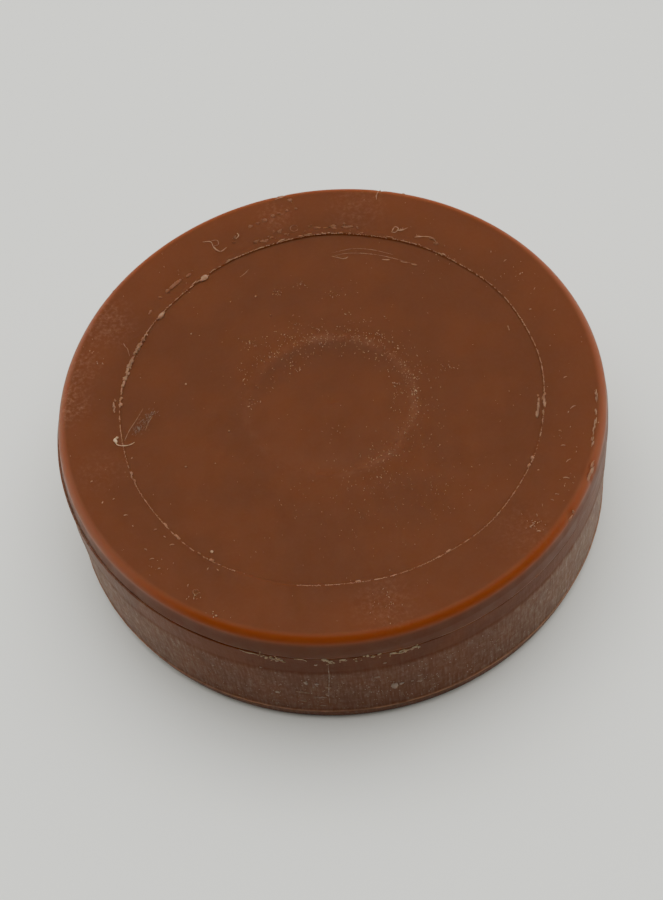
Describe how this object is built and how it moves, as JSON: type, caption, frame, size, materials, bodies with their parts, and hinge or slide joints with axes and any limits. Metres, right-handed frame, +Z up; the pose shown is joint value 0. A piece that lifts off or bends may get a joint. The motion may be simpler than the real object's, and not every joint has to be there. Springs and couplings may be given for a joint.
{
  "type": "shoe polish cake",
  "caption": "Round solid cake of brown shoe polish wax, with a ringed display face and flat base, for refilling a shallow tin.",
  "frame": {"origin": "centre of the flat base, on the surface that the cake stands on", "axes": "+Z up through the middle of the display face; -Y the front, where the crumbs lie on the side; +X the right"},
  "size_m": [0.08, 0.08, 0.024],
  "materials": {
    "display_wax": "soft satin wax, slightly translucent, warm orange where light comes through the rim",
    "body_wax": "dull wax with a pale bloom and fine upright scuffs"
  },
  "bodies": {
    "root": {"upper_pour": "display_wax", "lower_pour": "body_wax"}
  },
  "joints": []
}
